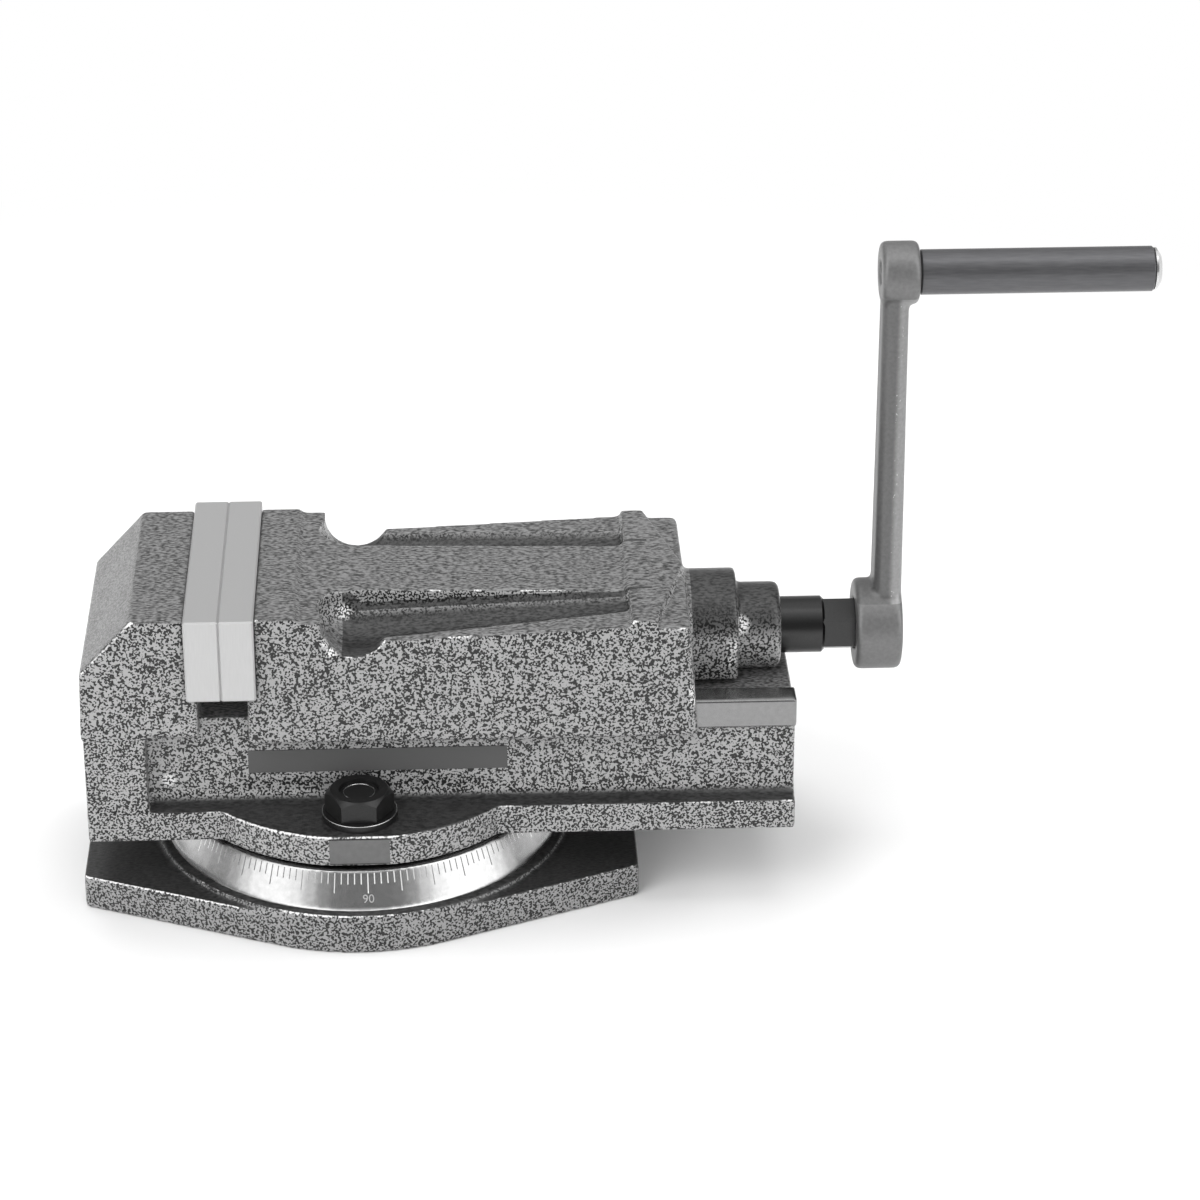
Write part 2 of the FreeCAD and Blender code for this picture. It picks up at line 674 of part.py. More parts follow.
def make_movable_jaw():
    """Cast movable jaw: head, spine between two scooped troughs, V-shaped crown, and the screw housing."""
    spine_half = "scoop_offset - scoop_radius"
    envelope = slab("JawEnvelope", "casting_half", [
        ("movable_lip", "deck_underside"),
        ("movable_lip", "plate_foot"),
        ("movable_seat", "plate_foot"),
        ("movable_seat", "jaw_top"),
        ("movable_seat + head_length", "jaw_top"),
        ("movable_seat + head_length + head_step", "jaw_top - head_step"),
        ("movable_seat + neck_start - 2 * neck_drop", "jaw_top - head_step"),
        ("movable_seat + neck_start", "jaw_top - neck_drop"),
        ("crown_place - head_step", "jaw_top - spine_end_drop"),
        ("crown_place", "jaw_top - crown_drop"),
        ("rear_top", "jaw_top - crown_drop"),
        ("rear_top + rear_draft", "deck_underside"),
    ])
    corner_round = "2 * casting_round"
    rear = value("rear_top")
    half = value("casting_half")
    softened = rounded("JawCorners", envelope, corner_round, lambda box, edge: box.XMin > rear - 0.1
                       and box.ZLength > 30 and near(abs(box.Center.y), half))
    tools = []
    scoops = []
    for side, sign in (("Front", "-"), ("Back", "")):
        outer = f"{sign}(casting_half + 1)"
        across = sorted((f"{sign}{spine_half}" if sign == "" else f"-({spine_half})", outer), key=value)
        tools.append(make_rim_cut(side, across))
        scoops.append(make_trough(side, sign))
        scoops.append(make_scoop_end(side, sign))
        tools.append(make_facet_cut(side, sign))
        start = across[0] if sign == "-" else f"{sign}scoop_offset"
        scoops.append(rod(f"{side}Notch", "Y", "notch_radius",
                          ("scoop_place", start, "jaw_top - scoop_drop"),
                          "casting_half + 1 - scoop_offset"))
    ways = bar("Ways", "way_half", ("movable_lip - 1", "rear_top + rear_draft + 1"),
               ("deck_underside - 1", "saddle_bottom"))
    upper = cut("JawUpper", softened, ways, *tools)
    for number, scoop in enumerate(scoops):
        upper = cut(f"JawScoop{number}", upper, scoop)
    tongue = bar("Tongue", "tongue_half", ("tongue_left", "tongue_right"),
                 ("keeper_top", "saddle_bottom + 1"))
    axis_start = ("core_right", "0", "screw_axis")
    arch = common("Arch", rod("ArchRound", "X", "housing_radius", axis_start, "housing_right - core_right"),
                  bar("ArchSides", "housing_half_width", ("core_right", "housing_right"),
                      ("saddle_bottom - 1", "screw_axis + housing_radius")))
    cheeks = bar("Cheeks", "housing_half_width", ("core_right", "housing_right"),
                 ("bed_top + housing_lift", "screw_axis"))
    boss = rod("Boss", "X", "boss_radius", axis_start, "boss_right - core_right")
    arm_end = value("boss_right")
    housing = fused("Housing", arch, cheeks, boss)
    soft_housing = rounded("BossEnd", housing, "boss_round", lambda box, edge: near(box.XMin, arm_end))
    casting = fused("JawCasting", upper, tongue, soft_housing)
    core = bar("SpineCore", "core_half_width", ("core_left", "core_right"),
               ("saddle_bottom - 1", "core_roof"))
    foot = bar("FootCore", "core_foot_half_width", ("core_left", "core_right"),
               ("saddle_bottom - 1", "saddle_bottom + core_foot_height"))
    room = bar("RetainerRoom", "retainer_room_half_width", ("core_right - retainer_room", "core_right"),
               ("saddle_bottom - 1", "saddle_bottom + retainer_room_top"))
    chamber = rod("Chamber", "X", "chamber_radius", ("core_right - 1", "0", "screw_axis"),
                  "chamber_length + 1")
    bore = rod("JournalBore", "X", "journal_radius + running_gap", axis_start,
               "boss_right - core_right + 1")
    holes = []
    underside = bar("HousingUnderside", "core_foot_half_width", ("core_right - 1", "boss_right + 1"),
                    ("keeper_top", "bed_top + 2 * clear_gap"))
    for side, sign in (("Front", "-"), ("Back", "")):
        holes.append(rod(f"{side}JawTap", "X", "plate_screw_radius + running_gap", ("movable_seat - 1",
                         f"{sign}plate_screw_spread", "plate_foot + plate_height / 2"),
                         "plate_screw_grip + 2"))
        holes.append(rod(f"{side}KeeperTap", "Z", "small_screw_radius + running_gap",
                         ("tongue_left + tongue_length / 2", f"{sign}keeper_screw_spread",
                          "keeper_top - 1"),
                         "small_screw_grip + 2"))
    for number, (across, height) in enumerate(retainer_screw_places()):
        holes.append(rod(f"WallTap{number}", "X", "retainer_screw_radius + running_gap",
                         ("core_right - 1", across, height), "retainer_screw_grip + 2"))
    node(cut("MovableJaw", casting, core, foot, room, chamber, bore, underside, *holes), "movable_jaw")


def make_rim_cut(side, across):
    """What is above the sloping rim beside the spine."""
    body = new_body(f"{side}RimCut")
    profile = outline(body, f"{side}RimProfile", "XZ_Plane", [
        ("scoop_place", "jaw_top - rim_start_drop"),
        ("crown_place", "jaw_top - rim_end_drop"),
        ("crown_place", "jaw_top + 1"),
        ("scoop_place", "jaw_top + 1"),
    ], offset=f"-({across[1]})")
    padded(body, f"{side}RimPad", profile, f"({across[1]}) - ({across[0]})")
    return body


def make_trough(side, sign):
    """A tapering round trough between the spine and the rim."""
    body = new_body(f"{side}Trough")
    start = outline(body, f"{side}TroughStart", "YZ_Plane", offset="scoop_place",
                    circles=[(f"{sign}scoop_offset", "jaw_top - scoop_drop", "scoop_radius - clear_gap")])
    end = outline(body, f"{side}TroughEnd", "YZ_Plane", offset="crown_place",
                  circles=[(f"{sign}trough_end_offset", "jaw_top - trough_end_drop", "trough_end_radius")])
    loft = body.newObject("PartDesign::AdditiveLoft", f"{side}TroughLoft")
    loft.Profile = start
    loft.Sections = [end]
    return body


def make_scoop_end(side, sign):
    """The ball-shaped end of a trough, behind the jaw's head."""
    ball = doc.addObject("Part::Sphere", f"{side}Ball")
    bind(ball, Radius="scoop_radius", Placement__Base__x="scoop_place",
         Placement__Base__y=f"{sign}scoop_offset",
         Placement__Base__z="jaw_top - scoop_drop")
    return ball


def make_facet_cut(side, sign):
    """What is above the low corner facet of the crown, outside its V."""
    body = new_body(f"{side}FacetCut")
    profile = outline(body, f"{side}FacetOutline", "XY_Plane", [
        ("crown_place + crown_shoulder", f"{sign}casting_half"),
        ("crown_place + crown_shoulder", f"{sign}(casting_half + 1)"),
        ("rear_top + rear_draft", f"{sign}(casting_half + 1)"),
        ("rear_top + rear_draft", "0"),
        ("rear_top", "0"),
    ], offset="jaw_top - facet_drop")
    padded(body, f"{side}FacetPad", profile, "facet_drop")
    return body


def retainer_screw_places():
    """Where the four screws of the retainer plate stand, as Y and Z."""
    return [(across, height) for across in ("-retainer_screw_offset", "retainer_screw_offset")
            for height in ("screw_axis - retainer_screw_low", "screw_axis + retainer_screw_high")]


def make_keeper():
    """Steel keeper plate, screwed up into the tongue so that the jaw can't lift off the bed."""
    blank = bar("KeeperBlank", "keeper_half_width", ("keeper_left", "keeper_left + keeper_length"),
                ("keeper_bottom", "keeper_top"))
    chamfer = chamfered("KeeperChamfer", blank, "plate_chamfer", lambda box, edge: True)
    along = "tongue_left + tongue_length / 2"
    head_top = "keeper_bottom + small_screw_head_height + 1"
    tools = []
    screws = []
    for side, sign in (("Front", "-"), ("Back", "")):
        across = f"{sign}keeper_screw_spread"
        tools.append(rod(f"Keeper{side}Through", "Z", "small_screw_radius + hole_gap",
                         (along, across, "keeper_bottom - 1"),
                         "keeper_thickness + 2"))
        tools.append(rod(f"Keeper{side}Bore", "Z", "small_screw_head_radius + hole_gap",
                         (along, across, "keeper_bottom - 1"),
                         "small_screw_head_height + 2"))
        shank = rod(f"Keeper{side}Shank", "Z", "small_screw_radius", (along, across, head_top),
                    f"keeper_top + small_screw_grip - ({head_top})")
        head = rod(f"Keeper{side}Head", "Z", "small_screw_head_radius",
                   (along, across, "keeper_bottom + 1"),
                   "small_screw_head_height")
        screws.append(fused(f"Keeper{side}Screw", shank, head))
    node(cut("Keeper", chamfer, *tools), "keeper_plate")
    node(group("KeeperScrews", *screws), "keeper_screws")


def make_lead_screw():
    """Turned lead screw with a thrust collar, a journal and a hexagon for the crank."""
    body = new_body("ScrewTurning")
    turned(body, "ScrewTurn", outline(body, "ScrewProfile", "XZ_Plane", [
        ("screw_left", "0"),
        ("screw_left", "thread_radius - thread_chamfer"),
        ("screw_left + thread_chamfer", "thread_radius"),
        ("collar_left", "thread_radius"),
        ("collar_left", "collar_radius"),
        ("collar_right", "collar_radius"),
        ("collar_right", "journal_radius"),
        ("journal_right - journal_chamfer", "journal_radius"),
        ("journal_right", "journal_radius - journal_chamfer"),
        ("journal_right", "0"),
    ]), "H_Axis")
    bind(body, Placement__Base__z="screw_axis")
    hexed = hexagon("ScrewHex", "X", "hex_flats", ("journal_right - 1", "0", "screw_axis"),
                    "hex_length + 1")
    node(fused("LeadScrew", body, hexed), "lead_screw")


def make_screw_nut():
    """Bronze nut of the lead screw, with a foot that four screws hold down on the bed."""
    span = ("nut_start", "nut_start + nut_length")
    foot = bar("NutFoot", "nut_foot_half_width", span, ("bed_top", "bed_top + nut_foot_height"))
    neck = bar("NutNeck", "nut_half_width", span, ("bed_top", "screw_axis"))
    barrel = rod("NutBarrel", "X", "nut_half_width", ("nut_start", "0", "screw_axis"), "nut_length")
    tools = [rod("NutBore", "X", "thread_radius + running_gap",
                 ("nut_start - 1", "0", "screw_axis"), "nut_length + 2")]
    seat = "bed_top + nut_foot_height - nut_screw_sink"
    screws = []
    for number, (along, across) in enumerate(nut_screw_places()):
        tools.append(rod(f"NutHole{number}", "Z", "small_screw_radius + hole_gap",
                         (along, across, "bed_top - 1"),
                         "nut_foot_height + 2"))
        tools.append(rod(f"NutSeat{number}", "Z", "small_screw_head_radius + hole_gap",
                         (along, across, seat),
                         "nut_screw_sink + 1"))
        shank = rod(f"NutShank{number}", "Z", "small_screw_radius",
                    (along, across, "bed_top - nut_screw_grip"),
                    f"{seat} - bed_top + nut_screw_grip")
        head = rod(f"NutHead{number}", "Z", "small_screw_head_radius", (along, across, seat),
                   "small_screw_head_height")
        screws.append(fused(f"NutScrew{number}", shank, head))
    node(cut("ScrewNut", fused("NutBlank", foot, neck, barrel), *tools), "lead_screw_nut")
    node(group("NutScrews", *screws), "nut_screws")


def make_thrust_bearing():
    """Bronze washers on both sides of the screw's collar, and the plate that holds them in the housing."""
    for name, start in (("inner", "inner_washer_left"), ("outer", "collar_right + running_gap")):
        ring = rod(f"{name}Ring", "X", "chamber_radius - running_gap", (start, "0", "screw_axis"),
                   "thrust_washer_thickness")
        radius = "thread_radius" if name == "inner" else "journal_radius"
        hole = rod(f"{name}RingHole", "X", f"{radius} + slide_gap", (f"{start} - 1", "0", "screw_axis"),
                   "thrust_washer_thickness + 2")
        node(cut(f"{name}Washer", ring, hole), f"thrust_washer_{name}")
    plate = bar("RetainerBlank", "retainer_half_width", ("retainer_left", "core_right"),
                ("screw_axis - retainer_below", "screw_axis + retainer_above"))
    spigot = rod("RetainerSpigot", "X", "chamber_radius - running_gap",
                 ("retainer_left", "0", "screw_axis"),
                 "inner_washer_left - retainer_left")
    tools = [rod("RetainerBore", "X", "thread_radius + slide_gap", ("retainer_left - 1", "0", "screw_axis"),
                 "inner_washer_left - retainer_left + 2")]
    screws = []
    for number, (across, height) in enumerate(retainer_screw_places()):
        tools.append(rod(f"RetainerHole{number}", "X", "retainer_screw_radius + hole_gap",
                         ("retainer_left - 1", across, height), "retainer_thickness + 2"))
        shank = rod(f"RetainerShank{number}", "X", "retainer_screw_radius",
                    ("retainer_left", across, height),
                    "retainer_thickness + retainer_screw_grip")
        head = rod(f"RetainerHead{number}", "X", "retainer_screw_head_radius",
                   ("retainer_left - retainer_screw_head_height", across,
                    height), "retainer_screw_head_height")
        screws.append(fused(f"RetainerScrew{number}", shank, head))
    node(cut("Retainer", fused("RetainerBody", plate, spigot), *tools), "retainer_plate")
    node(group("RetainerScrews", *screws), "retainer_screws")


def make_clamp(side, sign):
    """One swivel clamp: T-bolt in the base's slot, washer, and hexagon nut on the lug."""
    across = f"{sign}clamp_radius"
    edge = "bolt_head_width / 2"
    head = block(f"{side}BoltHead", (f"-{edge}", edge), (f"{across} - {edge}", f"{across} + {edge}"),
                 ("bolt_head_top - bolt_head_height", "bolt_head_top"))
    stud = rod(f"{side}Stud", "Z", "stud_radius", ("0", across, "bolt_head_top - 1"),
               "stud_top - bolt_head_top + 1")
    node(fused(f"{side}TBolt", head, stud), f"t_bolt_{side}")
    body = new_body(f"{side}WasherBody")
    rings = [("0", across, "washer_radius"), ("0", across, "stud_radius + hole_gap")]
    padded(body, f"{side}WasherPad",
           outline(body, f"{side}WasherRings", "XY_Plane", circles=rings, offset="flange_top"),
           "washer_thickness")
    node(body, f"washer_{side}")
    hexed = hexagon(f"{side}NutHex", "Z", "nut_flats", ("0", across, "nut_foot"), "nut_height")
    disc = rod(f"{side}NutDisc", "Z", "nut_flats / 2 / cos(30)", ("0", across, "nut_foot"), "nut_height")
    crown = value("nut_top")
    turned_disc = chamfered(f"{side}NutCrown", disc, "(1 / cos(30) - 0.96) * nut_flats / 2",
                            lambda box, ring: near(box.ZMin, crown))
    bore = rod(f"{side}NutBore", "Z", "stud_radius + running_gap", ("0", across, "nut_foot - 1"),
               "nut_height + 2")
    node(cut(f"{side}Nut", common(f"{side}NutBody", hexed, turned_disc), bore), f"clamp_nut_{side}")


def make_crank():
    """Forged crank arm on the screw's hexagon, with a riveted pin and a turned handle that spins on it."""
    hub = rod("Hub", "X", "hub_radius", ("hub_left", "0", "screw_axis"), "hub_length")
    hub_round = chamfered("HubRound", hub, "hub_round", lambda box, edge: box.XLength < 1)
    head = rod("ArmHead", "X", "head_radius", ("head_left", "0", "arm_axis"), "head_depth")
    head_round = chamfered("ArmHeadRound", head, "hub_round", lambda box, edge: box.XLength < 1)
    taper = doc.addObject("Part::Wedge", "ArmTaper")
    bind(taper, Xmin="arm_left", Xmax="arm_left + arm_foot_depth", X2min="arm_left",
         X2max="arm_left + arm_head_depth")
    bind(taper, Zmin="-arm_foot_width / 2", Zmax="arm_foot_width / 2", Z2min="-arm_head_width / 2",
         Z2max="arm_head_width / 2", Ymin="screw_axis", Ymax="arm_axis")
    taper.Placement = FreeCAD.Placement(FreeCAD.Vector(), FreeCAD.Rotation(FreeCAD.Vector(1, 0, 0), 90))
    arm = chamfered("Arm", taper, "arm_bevel", lambda box, edge: box.ZLength > 100)
    forging = fused("Forging", hub_round, head_round, arm)
    socket = hexagon("CrankSocket", "X", "hex_flats + 2 * running_gap",
                     ("hub_left - 1", "0", "screw_axis"), "hub_length + 2")
    pin_hole = rod("PinHole", "X", "pin_radius + running_gap", ("head_left - 1", "0", "arm_axis"),
                   "head_depth + 2")
    node(cut("CrankArm", forging, socket, pin_hole), "crank_arm")
    pin = new_body("PinTurning")
    turned(pin, "PinTurn", outline(pin, "PinProfile", "XZ_Plane", [
        ("head_left + pin_recess", "0"),
        ("head_left + pin_recess", "pin_radius"),
        ("grip_right + clear_gap", "pin_radius"),
        ("grip_right + clear_gap", "pin_head_radius"),
        ("grip_right + clear_gap + pin_head_length / 3", "pin_head_radius"),
        ("grip_right + clear_gap + pin_head_length", "pin_head_radius * 0.7"),
        ("grip_right + clear_gap + pin_head_length", "0"),
    ]), "H_Axis")
    bind(pin, Placement__Base__z="arm_axis")
    node(pin, "handle_pin")
    grip = new_body("GripTurning")
    turned(grip, "GripTurn", outline(grip, "GripProfile", "XZ_Plane", [
        ("grip_left", "pin_radius + running_gap"),
        ("grip_left", "handle_radius - plate_chamfer"),
        ("grip_left + plate_chamfer", "handle_radius"),
        ("grip_right - plate_chamfer", "handle_radius"),
        ("grip_right", "handle_radius - plate_chamfer"),
        ("grip_right", "pin_radius + running_gap"),
    ]), "H_Axis")
    bind(grip, Placement__Base__z="arm_axis")
    node(grip, "handle_grip")


make_swivel_base()
make_vise_body()
make_jaw_plate("FixedPlate", "fixed_jaw", "fixed_seat", "-jaw_line", "right")
make_jaw_plate("MovablePlate", "movable_jaw", "movable_seat", "-jaw_line", "left")
make_movable_jaw()
make_keeper()
make_lead_screw()
make_screw_nut()
make_thrust_bearing()
make_clamp("front", "-")
make_clamp("back", "")
make_crank()
doc.recompute()

# Nothing is written unless every object computed and every node is a valid shape.
failed = [item.Name for item in doc.Objects if "Invalid" in item.State or "Error" in item.State]
if failed:
    raise RuntimeError(f"objects that failed: {failed}")
for piece in NODES:
    if piece.Shape.isNull() or not piece.Shape.isValid():
        raise RuntimeError(f"{piece.Label} has no valid shape")
for piece in NODES:
    piece.Shape.exportStep(f"parts/{piece.Label}.step")
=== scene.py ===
import json
import math
import bmesh
import bpy
from mathutils import Matrix, Vector


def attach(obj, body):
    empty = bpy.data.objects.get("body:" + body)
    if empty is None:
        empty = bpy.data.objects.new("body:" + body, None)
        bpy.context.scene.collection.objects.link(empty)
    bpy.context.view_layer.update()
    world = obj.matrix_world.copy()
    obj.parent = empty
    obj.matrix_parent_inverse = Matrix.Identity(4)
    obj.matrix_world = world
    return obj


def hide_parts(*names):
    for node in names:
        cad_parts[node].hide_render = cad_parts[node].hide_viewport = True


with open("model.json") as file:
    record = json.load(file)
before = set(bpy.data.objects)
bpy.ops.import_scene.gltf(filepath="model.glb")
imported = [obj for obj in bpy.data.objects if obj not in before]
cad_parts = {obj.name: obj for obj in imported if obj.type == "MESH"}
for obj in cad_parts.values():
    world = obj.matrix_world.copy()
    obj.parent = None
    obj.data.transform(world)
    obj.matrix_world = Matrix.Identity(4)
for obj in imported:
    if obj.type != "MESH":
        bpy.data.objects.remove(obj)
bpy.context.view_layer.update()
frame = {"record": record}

MM = 0.001

# Camera of the photograph: a long lens about 1.8 m in front of the vise and a little left of its middle.
# It looks down by 27 degrees, so that the tops of the jaws show above their fronts.
CAMERA_PLACE = Vector((0.0428, -1.6201, 0.9417))
CAMERA_RIGHT = Vector((0.99912, -0.04188, 0.0))
CAMERA_BACK = Vector((-0.0374, -0.8926, 0.4493)).normalized()
CAMERA_UP = CAMERA_BACK.cross(CAMERA_RIGHT)
scene = bpy.context.scene
camera = bpy.data.objects.new("camera", bpy.data.cameras.new("camera"))
scene.collection.objects.link(camera)
camera.data.lens = 119.3
camera.data.sensor_width = 36.0
turn = Matrix((CAMERA_RIGHT, CAMERA_UP, CAMERA_BACK)).transposed().to_4x4()
camera.matrix_world = Matrix.Translation(CAMERA_PLACE) @ turn
scene.camera = camera
scene.view_settings.view_transform = "Standard"


# Room: white to the camera. Polished steel sees a dim studio instead, with a soft box on each side that
# gives the turned ring its two highlights; every other ray carries an even light.
def tone(hex_colour):
    """An sRGB hex colour as linear red, green, blue and alpha."""
    channels = [int(hex_colour[i:i + 2], 16) / 255 for i in (1, 3, 5)]
    return [c / 12.92 if c <= 0.04045 else ((c + 0.055) / 1.055) ** 2.4 for c in channels] + [1.0]


def add(tree, kind, inputs=(), **settings):
    """A shader node with its settings and links. An input is a plain value, a socket, or another node,
    which then gives the first output that its settings leave in use."""
    made = tree.nodes.new("ShaderNode" + kind)
    for name, setting in settings.items():
        setattr(made, name, setting)
    for key, source in dict(inputs).items():
        if isinstance(source, bpy.types.Node):
            source = next(output for output in source.outputs if output.enabled)
        if isinstance(source, bpy.types.NodeSocket):
            tree.links.new(source, made.inputs[key])
        else:
            made.inputs[key].default_value = source
    return made


def soft_box(tree, azimuth, centre, half, edge, strength):
    """A bright upright panel in the room, by its middle, half width and soft edge in degrees."""
    aside = add(tree, "Math", {0: azimuth, 1: math.radians(centre)}, operation="SUBTRACT")
    away = add(tree, "Math", {0: aside}, operation="ABSOLUTE")
    return add(tree, "MapRange", {"Value": away, "From Min": math.radians(half),
                                  "From Max": math.radians(half + edge), "To Min": strength, "To Max": 0.0},
               interpolation_type="SMOOTHSTEP")


# Each soft box: middle, half width and soft edge in degrees to the right of the camera's side, and strength.
SOFT_BOXES = {
    "right": (62.0, 12.0, 26.0, 1.9),
    "left": (-52.0, 8.0, 24.0, 1.7),
    "behind": (180.0, 40.0, 30.0, 0.25),
    "behind_wrapped": (-180.0, 40.0, 30.0, 0.25),
}
EVEN_LIGHT = 0.55
world = bpy.data.worlds.new("white_room")
scene.world = world
world.use_nodes = True
tree = world.node_tree
tree.nodes.clear()
look = add(tree, "SeparateXYZ", {0: add(tree, "TexCoord").outputs["Generated"]})
front = add(tree, "Math", {0: look.outputs["Y"], 1: -1.0}, operation="MULTIPLY")
azimuth = add(tree, "Math", {0: look.outputs["X"], 1: front}, operation="ARCTAN2")
room = add(tree, "MapRange", {"Value": look.outputs["Z"], "From Min": 0.6, "From Max": 0.95,
                              "To Min": 0.24, "To Max": 0.9})
for box in SOFT_BOXES.values():
    room = add(tree, "Math", {0: room, 1: soft_box(tree, azimuth, *box)}, operation="ADD")
path = add(tree, "LightPath")
seen = add(tree, "Math", {0: path.outputs["Is Camera Ray"], 1: path.outputs["Is Transmission Ray"]},
           operation="MAXIMUM")
light = add(tree, "Mix", {"Factor": path.outputs["Is Glossy Ray"], 2: EVEN_LIGHT, 3: room})
strength = add(tree, "Mix", {"Factor": seen, 2: light, 3: 1.0})
background = add(tree, "Background", {"Color": tone("#ffffff"), "Strength": strength})
add(tree, "OutputWorld", {"Surface": background})


# Table: a matt white board under the vise that keeps its soft shadow. Beyond its reach it turns into pure
# white light, so that the picture has no horizon.
def new_material(name):
    """An empty node material and its tree."""
    material = bpy.data.materials.new(name)
    material.use_nodes = True
    material.node_tree.nodes.clear()
    return material, material.node_tree


TABLE_REACH = 0.55
TABLE_SIDE = 40.0
TABLE_DROP = 0.2 * MM
table_paint, tree = new_material("white_table")
board = add(tree, "BsdfPrincipled", {"Base Color": tone("#ebebeb"), "Roughness": 0.9})
out_from_vise = add(tree, "VectorMath", {0: add(tree, "TexCoord").outputs["Object"]}, operation="LENGTH")
far = add(tree, "MapRange", {"Value": out_from_vise, "From Min": TABLE_REACH, "From Max": 1.6 * TABLE_REACH},
          interpolation_type="SMOOTHSTEP")
backdrop = add(tree, "Emission", {"Color": tone("#ffffff"), "Strength": 1.0})
add(tree, "OutputMaterial", {"Surface": add(tree, "MixShader", {0: far, 1: board, 2: backdrop})})
bpy.ops.mesh.primitive_plane_add(size=TABLE_SIDE, location=(0.0, 0.0, -TABLE_DROP))
table = bpy.context.object
table.name = "table"
table.data.materials.append(table_paint)

# Lamps: large soft panels at the front, above, at the right and low on the left, each by its place, side
# and watts. They light the paint and stay out of the steel's reflections, which the room gives.
LAMPS = {
    "key_left": ((-1.2, -1.4, 1.9), 1.6, 34.0),
    "fill_front": ((0.7, -2.4, 0.9), 1.6, 16.0),
    "top_soft": ((0.1, 0.5, 2.2), 1.8, 26.0),
    "rim_right": ((1.7, 0.3, 1.0), 1.0, 10.0),
    "low_left": ((-1.9, 0.05, 0.62), 0.9, 9.0),
}
VISE_MIDDLE = Vector((0.06, 0.0, 0.1))
for name, (place, side, watts) in LAMPS.items():
    lamp = bpy.data.objects.new(name, bpy.data.lights.new(name, "AREA"))
    scene.collection.objects.link(lamp)
    lamp.data.size = side
    lamp.data.energy = watts
    lamp.location = place
    lamp.rotation_euler = (VISE_MIDDLE - Vector(place)).to_track_quat("-Z", "Y").to_euler()
    lamp.visible_glossy = False

# Castings: the base, the body and the movable jaw are grey iron, sand cast and sprayed with hammered paint,
# with the working faces machined bare. The paint gives black worms on light grey at the sides and finer
# streaks on the tops; the tops are painted darker than the sides and the low ledges darker still, as painted
# shade, and bright edges and spots are painted highlights. The eye sees a coarse and slightly wet skin.
PAINT_GRAIN = 0.97 * MM
STREAK_GRAIN = 1.0 * MM
MILLING_GRAIN = 2.5 * MM
PAINT_RELIEF = 0.2 * MM
LEDGE_TOP = 60.0 * MM


def within(tree, number, low, high):
    """1 where a number lies between two limits, otherwise 0."""
    over = add(tree, "Math", {0: number, 1: low}, operation="GREATER_THAN")
    under = add(tree, "Math", {0: number, 1: high}, operation="LESS_THAN")
    return add(tree, "Math", {0: over, 1: under}, operation="MULTIPLY")


def two_tone(tree, factor, dark, light):
    """A mix of two hex colours."""
    return add(tree, "Mix", {"Factor": factor, 6: tone(dark), 7: tone(light)}, data_type="RGBA")


def painted_edge_glint(tree, normal, height, worms, patches):
    """A painted highlight on convex edges that face the front, the top or the left, where they catch the
    light: fully on the low ledges and on the left, and only in patches elsewhere."""
    pointed = add(tree, "NewGeometry").outputs["Pointiness"]
    crest = add(tree, "MapRange", {"Value": pointed, "From Min": 0.515, "From Max": 0.55})
    tilt = add(tree, "VectorMath", {0: normal, 1: (-0.4, -1.0, 1.0)}, operation="DOT_PRODUCT")
    lit = add(tree, "MapRange", {"Value": tilt, "From Min": 1.22, "From Max": 1.36})
    glint_patch = add(tree, "MapRange", {"Value": patches, "From Min": 0.5, "From Max": 0.6})
    right = add(tree, "SeparateXYZ", {0: normal}).outputs["X"]
    leftward = add(tree, "MapRange", {"Value": right, "From Min": -0.2, "From Max": -0.35})
    kept = add(tree, "Math", {0: glint_patch, 1: leftward}, operation="MAXIMUM")
    glint_reach = add(tree, "Mix", {"Factor": height, 2: 1.0, 3: kept})
    edge = add(tree, "Math", {0: crest, 1: lit}, operation="MULTIPLY")
    for share in (glint_reach, worms):
        edge = add(tree, "Math", {0: edge, 1: share}, operation="MULTIPLY")
    return add(tree, "MapRange", {"Value": edge, "From Min": 0.18, "From Max": 0.34})


def painted_glint_spot(tree, place, speckle, centre, radius):
    """A painted highlight: the paint's light flecks inside a ball, by its centre and radius in mm."""
    gap = add(tree, "VectorMath", {0: place, 1: Vector(centre) * MM}, operation="DISTANCE")
    near = add(tree, "MapRange", {"Value": gap, "From Min": 0.6 * radius * MM, "From Max": 1.3 * radius * MM,
                                  "To Min": 1.0, "To Max": 0.0})
    return add(tree, "Math", {0: near, 1: speckle}, operation="MULTIPLY")


